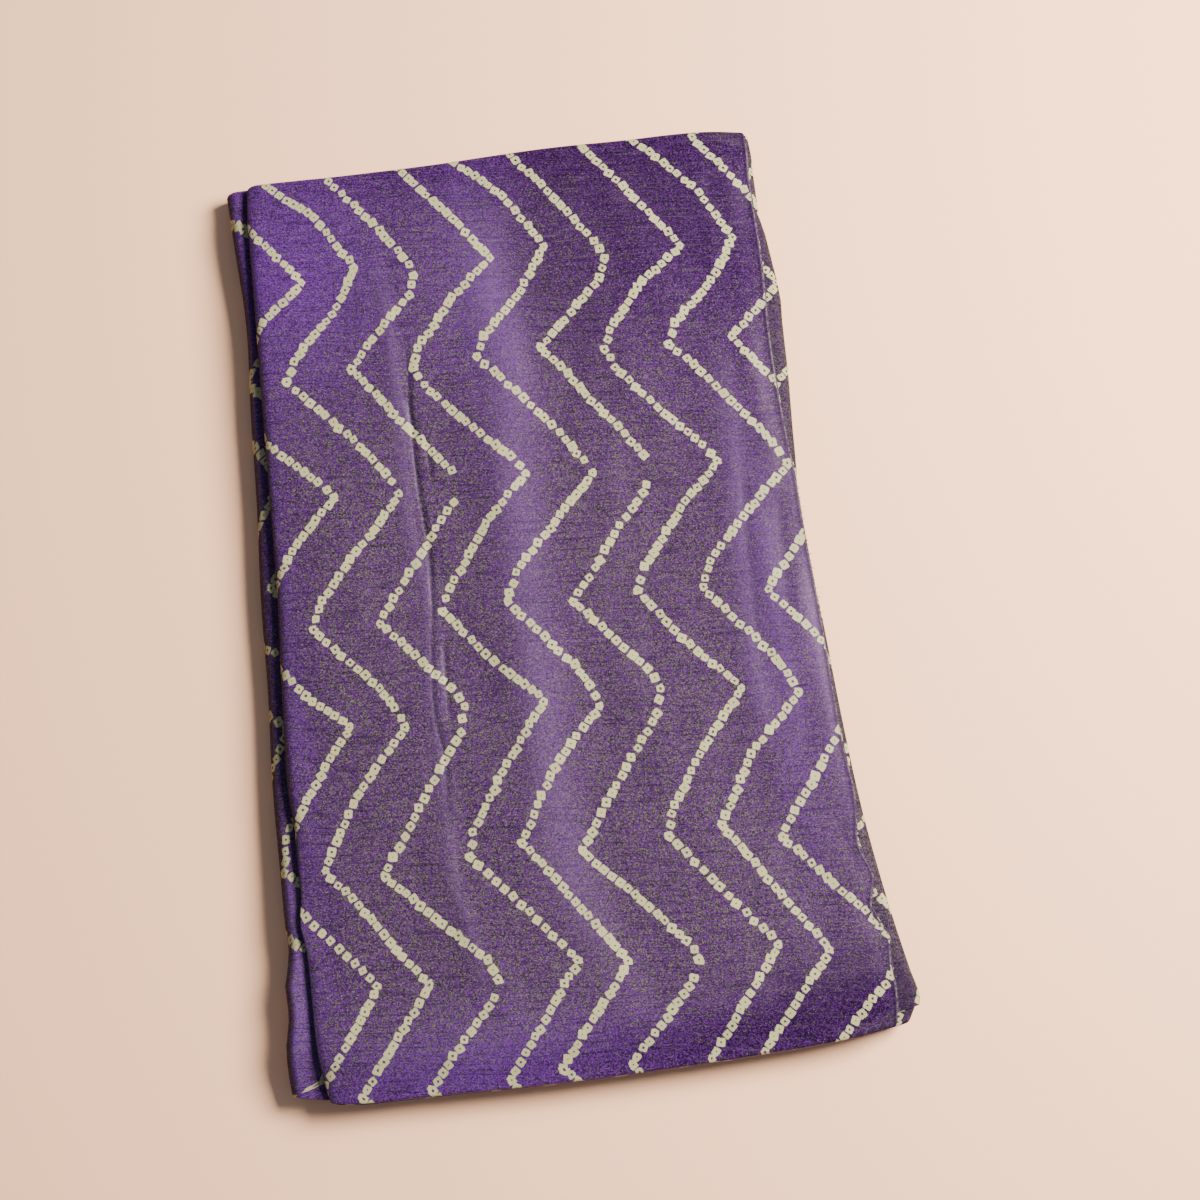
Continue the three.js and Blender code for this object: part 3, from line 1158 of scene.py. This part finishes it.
@dataclass(frozen=True)
class PrintChart:
    """The dotted zigzag print, worked out from the cloth's own lengths in millimetres."""

    lines: tuple[DottedLine, ...] = LINES
    repeat_across: float = 90.0
    skew: float = 0.055
    skew_from: float = 15.0
    bow: float = 2.6
    reach: float = 62.0
    slope_step: float = 2.2
    dot_half: float = 1.88
    dot_spread: float = 0.26
    dot_turn: float = 1.0
    dot_stray: float = 0.9
    corner_round: float = 1.3
    edge_soft: float = 0.16
    hole: float = 0.5
    hole_least: float = 0.5
    hole_spread: float = 0.9
    hole_soft: float = 0.14
    hole_depth: float = 0.95
    least_pace: float = 0.2
    open_dots: float = 1.5
    sway: float = 1.8
    sway_grains: tuple[Grain, Grain] = (Grain(24, 24, 4), Grain(24, 24, 9))
    rag: float = 0.7
    rag_grains: tuple[Grain, Grain] = (Grain(1.1, 1.1, 14, 1), Grain(1.1, 1.1, 19, 1))

    def mask(self, board: NodeBoard, x: Wire, y: Wire) -> tuple[Wire, Wire]:
        """Where the print's dots are.

        Args:
            board: The tree to add to.
            x: The place across the cloth.
            y: The place along it.

        Returns:
            1 on the dots and 0 between them, and a number that differs from dot to dot.
        """
        rough_x, rough_y = (
            start + (board.noise(sway, x, y) - 0.5) * self.sway + (board.noise(rag, x, y) - 0.5) * self.rag
            for start, sway, rag in zip((x, y), self.sway_grains, self.rag_grains)
        )
        off_middle = rough_x - self.skew_from
        bend = self.bow / self.repeat_across**2
        level = rough_y + self.skew * off_middle + bend * off_middle * off_middle
        lines = enumerate(self.lines)
        marks = [self.line_mask(board, line, number, rough_x, level) for number, line in lines]
        return self.uppermost(marks)

    def uppermost(self, marks: Sequence[tuple[Wire, Wire]]) -> tuple[Wire, Wire]:
        """The strongest of several marks at each place, and its number."""
        mask, tone = marks[0]
        for other, value in marks[1:]:
            tone = tone + (value - tone) * (other > mask)
            mask = mask.at_least(other)
        return mask, tone

    def line_mask(self, board: NodeBoard, line: DottedLine, number: int, x: Wire,
                  level: Wire) -> tuple[Wire, Wire]:
        """Where the dots of one line and of its repeats across the cloth are.

        Args:
            board: The tree to add to.
            line: The line.
            number: The line's number, which sets its random dots apart.
            x: The place across the cloth.
            level: The place along it, with the print's skew taken out.

        Returns:
            1 on the dots and 0 between them, and a number that differs from dot to dot.
        """
        first = line.turns[0].y
        repeat = line.turns[-1].y - first
        counts = line.dot_numbers()
        total = counts[-1]
        places = [(t.y - first) / repeat for t in line.turns]
        reach_curve = [(at, (t.x + self.reach) / (2 * self.reach)) for at, t in zip(places, line.turns)]
        count_curve = [(at, count / total) for at, count in zip(places, counts)]

        def read(curve: list[tuple[float, float]], at: Wire) -> Wire:
            """A curve's value at a place of the repeat."""
            inputs = {"Value": at.fraction()}
            return board.wire(board.add("ShaderNodeFloatCurve", {"curve": curve}, inputs))

        at = (level - first) / repeat
        step = self.slope_step / repeat
        centre = read(reach_curve, at) * (2 * self.reach) - self.reach
        change = read(reach_curve, at + step) - read(reach_curve, at - step)
        slope = change * (self.reach / self.slope_step)
        lane = ((x - centre) / self.repeat_across).rounded()
        aside = x - centre - lane * self.repeat_across
        steep = slope * slope + 1.0
        foot = at + aside * slope / steep / repeat
        across = aside / board.maths("SQRT", steep)
        count = read(count_curve, foot) * total
        ahead = (read(count_curve, foot + step) - read(count_curve, foot - step)) * total
        ahead = board.maths("FLOORED_MODULO", ahead + total / 2, float(total)) - total / 2
        pitch = 2 * self.slope_step * board.maths("SQRT", steep) / ahead.at_least(self.least_pace)
        below = board.maths("FLOOR", count)
        marks = []
        for offset in (0.0, 1.0):
            dot = below + offset
            along = (count - dot) * pitch
            mask, value = self.dot(board, dot, total, lane, number, along, across)
            for turn, corner in zip(line.turns, counts):
                if turn.apex is Apex.OPEN:
                    mask = mask * (abs(dot - corner) > self.open_dots)
            marks.append((mask, value))
        return self.uppermost(marks)

    def dot(self, board: NodeBoard, dot: Wire, total: int, lane: Wire, number: int,
            along: Wire, across: Wire) -> tuple[Wire, Wire]:
        """One dot: a soft square, a little turned and off its place, with a small dark middle.

        Args:
            board: The tree to add to.
            dot: The dot's number along its line.
            total: How many dots the line has in a repeat.
            lane: Which of the line's repeats across the cloth it is on.
            number: The line's number.
            along: The distance from the dot's place along the line.
            across: The distance from it across the line.

        Returns:
            1 on the dot and 0 off it, and a number of the dot's own.
        """
        own = board.maths("FLOORED_MODULO", dot, float(total))
        lot, red, green, blue = board.lot(own, lane, float(number))
        angle = (red - 0.5) * self.dot_turn
        half = self.dot_half * (1.0 + (green - 0.5) * self.dot_spread)
        near_x = along - (blue - 0.5) * self.dot_stray
        near_y = across - (lot - 0.5) * self.dot_stray
        cos = board.maths("COSINE", angle)
        sin = board.maths("SINE", angle)
        side_x = abs(near_x * cos + near_y * sin)
        side_y = abs(near_y * cos - near_x * sin)
        edge = board.maths("SMOOTH_MAX", side_x, side_y, self.corner_round)
        body = 1.0 - (edge - half).rise(-self.edge_soft, self.edge_soft)
        middle = board.maths("SQRT", near_x * near_x + near_y * near_y)
        hole_size = (green * 7.0 + red * 3.0).fraction()
        hole = self.hole * (self.hole_least + self.hole_spread * hole_size)
        open_middle = 1.0 - (middle - hole).rise(-self.hole_soft, self.hole_soft)
        return body * (1.0 - open_middle * self.hole_depth), lot


@dataclass(frozen=True)
class SilkFinish:
    """The shot silk: violet and olive threads, slubs, the print and its soft shine, with painted
    highlights, painted sheen and painted shade laid over them.

    A span holds the least and the most of a tone, and a rise where a soft step starts and ends.
    """

    violet_deep: Colour = paint(0.0050, 0.0010, 0.0095)
    violet: Colour = paint(0.080, 0.0180, 0.118)
    # The colour of the painted highlights down the ridges.
    highlight_lilac: Colour = paint(0.112, 0.056, 0.145)
    violet_lit: Colour = paint(0.125, 0.036, 0.215)
    olive: Colour = paint(0.100, 0.091, 0.056)
    # The paler line along the open edges: the edge thread, partly a painted highlight.
    selvedge: Colour = paint(0.100, 0.062, 0.105)
    # The painted shade of the sideways-facing surfaces, flecked with olive thread.
    side_shade_tone: Colour = paint(0.012, 0.009, 0.010)
    side_fleck: Colour = paint(0.055, 0.047, 0.034)
    cream: Colour = paint(0.355, 0.325, 0.150)
    cream_deep: Colour = paint(0.20, 0.18, 0.095)
    roughness: float = 0.30
    thread_roughness: float = 0.10
    print_roughness: float = 0.5
    side_roughness: float = 0.9
    gloss: float = 0.12
    gloss_tint: Colour = paint(0.95, 0.62, 1.0)
    bump_strength: float = 0.5
    bump_distance: float = 0.00003
    weft_pitch: float = 0.43
    weft_skew: float = 0.10
    weft_drift: float = 9.0
    pick_length: float = 0.52
    pick_slip: float = 31.0
    drift_grain: Grain = Grain(70, 45, 7)
    cloud_grain: Grain = Grain(14, 3.5, 1, 3, 0.6)
    slub_grain: Grain = Grain(22, 0.9, 2, 1)
    streak_grain: Grain = Grain(24, 0.95, 5)
    thread_grain: Grain = Grain(0.5, 0.42, 3, 2, 0.6)
    cream_grain: Grain = Grain(0.6, 0.5, 8, 2, 0.6)
    violet_cloud: float = 0.2
    olive_share: float = 0.62
    # How much of the olive's painted sheen the patches take out.
    olive_unsheened: float = 0.9
    olive_cloud: float = 0.25
    olive_shot: float = 0.5
    olive_soft: float = 0.05
    slub_amount: float = 0.4
    # How dark the patches of painted shade are.
    painted_shade_amount: float = 0.6
    # How dark the right fold's strip is painted, as painted shade.
    shot_strip_shade: float = 0.3
    below_amount: float = 0.4
    cream_fleck: float = 0.4
    cream_lot: float = 0.3
    lit_span: Span = (0.15, 0.90)
    olive_span: Span = (0.05, 1.0)
    streak_span: Span = (0.1, 0.6)
    streak_deep: Span = (0.2, 1.0)
    painted_highlight_span: Span = (0.1, 0.7)
    crease_shade_span: Span = (0.35, 1.0)
    side_shade_span: Span = (0.6, 1.0)
    thread_span: Span = (0.2, 0.7)
    slub_rise: Span = (0.56, 0.66)
    streak_rise: Span = (0.66, 0.70)
    fleck_rise: Span = (0.45, 0.85)
    cream_rise: Span = (0.4, 0.75)
    below_rise: Span = (1.0, 2.2)
    thread_rise: Span = (0.2, 0.6)
    chart: PrintChart = PrintChart()

    def material(self) -> bpy.types.Material:
        """Makes the material.

        Returns:
            The material, which reads the cloth's UV map and attributes.
        """
        material, board = new_material("printed_silk")
        x, y = board.place(board.add("ShaderNodeUVMap", {"uv_map": "cloth"}), "UV")
        dots, tone = self.chart.mask(board, x, y)
        cloth, speck = self.ground(board, x, y)
        fleck = board.noise(self.cream_grain, x, y).rise(*self.cream_rise)
        cream = board.mix(fleck * self.cream_fleck + tone * self.cream_lot, self.cream, self.cream_deep)
        roughness = self.roughness + speck * self.thread_roughness
        roughness = roughness + dots * (self.print_roughness - roughness)
        matt = board.attribute("side").at_least(board.attribute("shot"))
        roughness = roughness + matt * (self.side_roughness - roughness)
        bump = board.add("ShaderNodeBump", None, {
            "Strength": self.bump_strength,
            "Distance": self.bump_distance,
            "Height": board.noise(self.thread_grain, x, y),
        })
        shader = board.add("ShaderNodeBsdfPrincipled", None, {
            "Base Color": board.mix(dots, cloth, cream),
            "Roughness": roughness,
            "Normal": board.wire(bump),
            "Specular IOR Level": self.gloss,
            "Specular Tint": self.gloss_tint,
        })
        board.add("ShaderNodeOutputMaterial", None, {"Surface": board.wire(shader)})
        return material

    def ground(self, board: NodeBoard, x: Wire, y: Wire) -> tuple[Wire, Wire]:
        """The colour of the cloth between the dots, with painted highlights, painted sheen and painted
        shade laid over the threads' own colours.

        Each pick of the weft has random numbers of its own, which set how far each tint shows on it.

        Args:
            board: The tree to add to.
            x: The place across the cloth, in millimetres.
            y: The place along it.

        Returns:
            The colour, and a number that differs from pick to pick.
        """
        names = ("painted_highlight", "crease_shade", "side", "shot", "to_edge", *(shade.value for shade in Shade))
        painted_highlight, crease_shade, side, shot, edge, unsheened, painted_shade, lit = (board.attribute(name) for name in names)
        weft = y + self.weft_skew * x + board.noise(self.drift_grain, x, y) * self.weft_drift
        row = board.maths("FLOOR", weft / self.weft_pitch)
        start = board.wire(board.add("ShaderNodeTexWhiteNoise", {"noise_dimensions": "1D"}, {"W": row}))
        pick = board.maths("FLOOR", x / self.pick_length + start * self.pick_slip)
        speck, red, green, blue = board.lot(pick, row, 0.0)
        cloud = board.noise(self.cloud_grain, x, weft) - 0.5
        slub = board.noise(self.slub_grain, x, weft).rise(*self.slub_rise)
        streak = board.noise(self.streak_grain, x, weft).rise(*self.streak_rise)
        # The olive weft is real, but how much of it shows across the top stands partly for its sheen: a
        # painted sheen, left out in the patches where the violet shows pure.
        olive_share = self.olive_share * (1.0 - unsheened * self.olive_unsheened)
        olive_share = olive_share + cloud * self.olive_cloud + shot * self.olive_shot
        olive_pick = (olive_share - red).rise(-self.olive_soft, self.olive_soft)
        side_shade_colour = board.mix(speck.rise(*self.fleck_rise), self.side_shade_tone, self.side_fleck)
        colour = board.mix(speck * speck + cloud * self.violet_cloud, self.violet_deep, self.violet)
        tints = (
            (lit * speck.between(*self.lit_span), self.violet_lit),
            (olive_pick * (green * green).between(*self.olive_span), self.olive),
            (slub * self.slub_amount, self.violet_deep),
            (streak * green.between(*self.streak_span) * painted_shade.between(*self.streak_deep), self.olive),
            # Painted shade: darker in the patches and on the right fold's strip below the top.
            (painted_shade * self.painted_shade_amount + shot * self.shot_strip_shade, self.violet_deep),
            # Painted highlight: lilac down the ridges of the top.
            (painted_highlight * blue.between(*self.painted_highlight_span) * (1.0 - side), self.highlight_lilac),
            # Painted shade down the sharp creases.
            (crease_shade * speck.between(*self.crease_shade_span), self.violet_deep),
            # Painted shade on the surfaces that face sideways.
            (side * green.between(*self.side_shade_span), side_shade_colour),
            ((1.0 - edge.rise(*self.below_rise)) * self.below_amount, self.violet_deep),
            # Along the open edges a paler line: the edge thread, and partly a painted highlight where the
            # edge catches the light.
            ((1.0 - edge.rise(*self.thread_rise)) * speck.between(*self.thread_span), self.selvedge),
        )
        for share, tint in tints:
            colour = board.mix(share, colour, tint)
        return colour, speck


@dataclass(frozen=True)
class SelvedgeFinish:
    """The undyed and dark threads of the open edge."""

    pale: Colour = paint(0.120, 0.088, 0.085)
    dark: Colour = paint(0.018, 0.008, 0.022)
    roughness: float = 0.7
    gloss: float = 0.1
    grain: Grain = Grain(4.0, 2.3, 2, 2, 0.6)
    rise: Span = (0.42, 0.58)

    def material(self) -> bpy.types.Material:
        """Makes the material, which reads Object coordinates."""
        material, board = new_material("selvedge_thread")
        across, along = board.place(board.add("ShaderNodeTexCoord"), "Object")
        share = board.noise(self.grain, across, along).rise(*self.rise)
        shader = board.add("ShaderNodeBsdfPrincipled", None, {
            "Base Color": board.mix(share, self.dark, self.pale),
            "Roughness": self.roughness,
            "Specular IOR Level": self.gloss,
        })
        board.add("ShaderNodeOutputMaterial", None, {"Surface": board.wire(shader)})
        return material


@dataclass
class SelvedgeThreads:
    """The rounded last thread of the top's open edge, with short frayed ends standing out of it.

    A node tree lays the threads along the line of the edge, so they follow it wherever it goes.
    """

    cord_radius: float = 0.3
    thread_radius: float = 0.09
    thread_length: float = 1.5
    thread_pitch: float = 1.7
    thread_middle: Triple = (0.55, 0.25, 0.12)
    thread_end: Triple = (1.0, -0.1, -0.12)
    turns: tuple[Triple, Triple] = ((-0.5, -0.1, -1.0), (0.5, 0.35, 1.0))
    scales: tuple[Triple, Triple] = ((0.3, 0.8, 0.8), (1.5, 1.2, 1.2))
    cord_sides: int = 8
    thread_sides: int = 5
    thread_steps: int = 5
    seed: int = 7
    scale_seed: int = 5
    finish: SelvedgeFinish = SelvedgeFinish()

    def tree(self) -> bpy.types.NodeTree:
        """Makes the node tree that turns the edge's line into threads.

        Returns:
            The tree, with the line, sizes, seed and material as its inputs.
        """
        tree = bpy.data.node_groups.new("selvedge_threads", "GeometryNodeTree")
        sockets = {
            "Edge": "Geometry", "Cord Radius": "Float", "Thread Radius": "Float",
            "Thread Length": "Float", "Pitch": "Float", "Seed": "Int", "Material": "Material",
        }
        for name, kind in sockets.items():
            tree.interface.new_socket(name, in_out="INPUT", socket_type=f"NodeSocket{kind}")
        tree.interface.new_socket("Threads", in_out="OUTPUT", socket_type="NodeSocketGeometry")
        board = NodeBoard(tree)
        given = board.add("NodeGroupInput")
        seed = board.wire(given, "Seed")
        line = board.wire(board.add("GeometryNodeMeshToCurve", None, {"Mesh": board.wire(given, "Edge")}))
        cord = self.tube(board, line, board.wire(given, "Cord Radius"), self.cord_sides)
        length = board.wire(given, "Thread Length")
        bow = board.add("GeometryNodeCurveQuadraticBezier", None, {
            "Resolution": self.thread_steps,
            "Start": (0.0, 0.0, 0.0),
            "Middle": board.vector(*(length * share for share in self.thread_middle)),
            "End": board.vector(*(length * share for share in self.thread_end)),
        })
        thread = self.tube(board, board.wire(bow), board.wire(given, "Thread Radius"), self.thread_sides)
        starts = board.add("GeometryNodeCurveToPoints", {"mode": "LENGTH"}, {
            "Curve": line,
            "Length": board.wire(given, "Pitch"),
        })
        ends = board.add("GeometryNodeInstanceOnPoints", None, {
            "Points": board.wire(starts),
            "Instance": thread,
            "Rotation": self.random(board, self.turns, seed),
            "Scale": self.random(board, self.scales, seed + self.scale_seed),
        })
        joined = board.add("GeometryNodeJoinGeometry", None, {0: cord})
        tree.links.new(ends.outputs[0], joined.inputs[0])
        real = board.add("GeometryNodeRealizeInstances", None, {0: board.wire(joined)})
        dressed = board.add("GeometryNodeSetMaterial", None, {
            "Geometry": board.wire(real), "Material": board.wire(given, "Material"),
        })
        board.add("NodeGroupOutput", None, {0: board.wire(dressed)})
        return tree

    def random(self, board: NodeBoard, limits: tuple[Triple, Triple], seed: Wire) -> Wire:
        """A random vector between two limits for every thread."""
        inputs = {0: limits[0], 1: limits[1], "Seed": seed}
        return board.wire(board.add("FunctionNodeRandomValue", {"data_type": "FLOAT_VECTOR"}, inputs))

    def tube(self, board: NodeBoard, line: Wire, radius: Wire, sides: int) -> Wire:
        """A closed round tube along a line."""
        ring = board.add("GeometryNodeCurvePrimitiveCircle", None, {"Resolution": sides, "Radius": radius})
        inputs = {"Curve": line, "Profile Curve": board.wire(ring), "Fill Caps": True}
        return board.wire(board.add("GeometryNodeCurveToMesh", None, inputs))

    def build(self, line: np.ndarray) -> bpy.types.Object:
        """Makes the threads' object.

        Args:
            line: The points of the open edge, in metres, one a row.

        Returns:
            The object, a plain mesh.
        """
        route = bpy.data.meshes.new("selvedge_line")
        steps = [(i, i + 1) for i in range(len(line) - 1)]
        route.from_pydata(line.tolist(), steps, [])
        holder = bpy.data.objects.new("selvedge_line", route)
        bpy.context.scene.collection.objects.link(holder)
        modifier = holder.modifiers.new("threads", "NODES")
        tree = self.tree()
        modifier.node_group = tree
        values = {
            "Cord Radius": self.cord_radius * MM,
            "Thread Radius": self.thread_radius * MM,
            "Thread Length": self.thread_length * MM,
            "Pitch": self.thread_pitch * MM,
            "Seed": self.seed,
            "Material": self.finish.material(),
        }
        for item in tree.interface.items_tree:
            if item.name in values:
                modifier[item.identifier] = values[item.name]
        shown = holder.evaluated_get(bpy.context.evaluated_depsgraph_get())
        mesh = bpy.data.meshes.new_from_object(shown)
        mesh.name = "selvedge_threads"
        mesh.shade_smooth()
        holder.modifiers.remove(modifier)
        bpy.data.objects.remove(holder)
        threads = bpy.data.objects.new("selvedge_threads", mesh)
        bpy.context.scene.collection.objects.link(threads)
        return threads


@dataclass(frozen=True)
class PaperFinish:
    """The plain pale paper that the cloth lies on."""

    colour: Colour = paint(0.92, 0.505, 0.287)
    roughness: float = 0.9

    def material(self) -> bpy.types.Material:
        """Makes the material."""
        material, board = new_material("floor_paper")
        shader = board.add("ShaderNodeBsdfPrincipled", None, {
            "Base Color": self.colour,
            "Roughness": self.roughness,
            "Specular IOR Level": 0.1,
        })
        board.add("ShaderNodeOutputMaterial", None, {"Surface": board.wire(shader)})
        return material


@dataclass
class Studio:
    """The floor, the lights and the camera."""

    target: tuple[float, float, float] = (0.02573, -0.00094, 0.0)
    elevation: float = 79.4
    turn: float = 8.0
    distance: float = 1.128
    lens: float = 72.0
    sensor: float = 36.0
    floor_half: float = 3.0
    floor_drop: float = 0.1 * MM
    floor_finish: PaperFinish = PaperFinish()

    def add_floor(self) -> None:
        """Lays the floor just under the cloth."""
        half = self.floor_half
        signs = ((-1, -1), (1, -1), (1, 1), (-1, 1))
        corners = [(x * half, y * half, -self.floor_drop) for x, y in signs]
        mesh = bpy.data.meshes.new("floor")
        mesh.from_pydata(corners, [], [(0, 1, 2, 3)])
        mesh.materials.append(self.floor_finish.material())
        floor = bpy.data.objects.new("floor", mesh)
        bpy.context.scene.collection.objects.link(floor)

    def add_camera(self) -> None:
        """Places the camera above the near end, a little turned, as in the photograph."""
        lift = math.radians(self.elevation)
        turn = math.radians(self.turn)
        ahead = Vector((math.sin(turn) * math.cos(lift), math.cos(turn) * math.cos(lift), -math.sin(lift)))
        right = Vector((math.cos(turn), -math.sin(turn), 0.0))
        up = right.cross(ahead)
        data = bpy.data.cameras.new("camera")
        data.lens = self.lens
        data.sensor_width = self.sensor
        data.clip_start = 0.05
        data.clip_end = 20.0
        camera = bpy.data.objects.new("camera", data)
        turned = Matrix((right, up, -ahead)).transposed().to_4x4()
        camera.matrix_world = Matrix.Translation(Vector(self.target) - ahead * self.distance) @ turned
        bpy.context.scene.collection.objects.link(camera)
        bpy.context.scene.camera = camera

    def add_light(self, name: str, place: tuple[float, float, float], size: float, power: float,
                  colour: tuple[float, float, float]) -> None:
        """Adds a square soft light that faces the cloth.

        Args:
            name: The light's name.
            place: Where it hangs.
            size: Its side.
            power: Its power in watts.
            colour: Its colour.
        """
        data = bpy.data.lights.new(name, "AREA")
        data.shape = "SQUARE"
        data.size = size
        data.energy = power
        data.color = colour
        light = bpy.data.objects.new(name, data)
        light.location = place
        light.rotation_euler = (-Vector(place)).to_track_quat("-Z", "Y").to_euler()
        bpy.context.scene.collection.objects.link(light)

    def add_lights(self) -> None:
        """Hangs the key light at the upper right and lets a pale world fill the shadows."""
        self.add_light("key_light", (0.926, 0.230, 0.955), 0.62, 84.0, (1.0, 0.985, 0.96))
        world = bpy.data.worlds.new("studio")
        world.use_nodes = True
        back = world.node_tree.nodes["Background"]
        back.inputs["Color"].default_value = (0.78, 0.92, 1.25, 1.0)
        back.inputs["Strength"].default_value = 0.3
        bpy.context.scene.world = world

    def build(self) -> None:
        """Sets the whole studio up."""
        self.add_camera()
        self.add_floor()
        self.add_lights()


def dress(piece: bpy.types.Object) -> None:
    """Attaches a piece of the cloth to the body it rides on and hides the part that it stands for."""
    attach(piece, BODY)
    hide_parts(CLOTH_NODE)


def main() -> None:
    """Builds the studio and the cloth, and reports each piece."""
    logging.basicConfig(level=logging.INFO, format="%(name)s: %(message)s")
    Studio().build()
    silk = FoldedSilk()
    cloth = silk.build()
    cloth.data.materials.append(SilkFinish().material())
    threads = SelvedgeThreads().build(silk.open_edge)
    for piece in (cloth, threads):
        dress(piece)
        log.info("%s: %d faces", piece.name, len(piece.data.polygons))


if __name__ == "__main__":
    main()
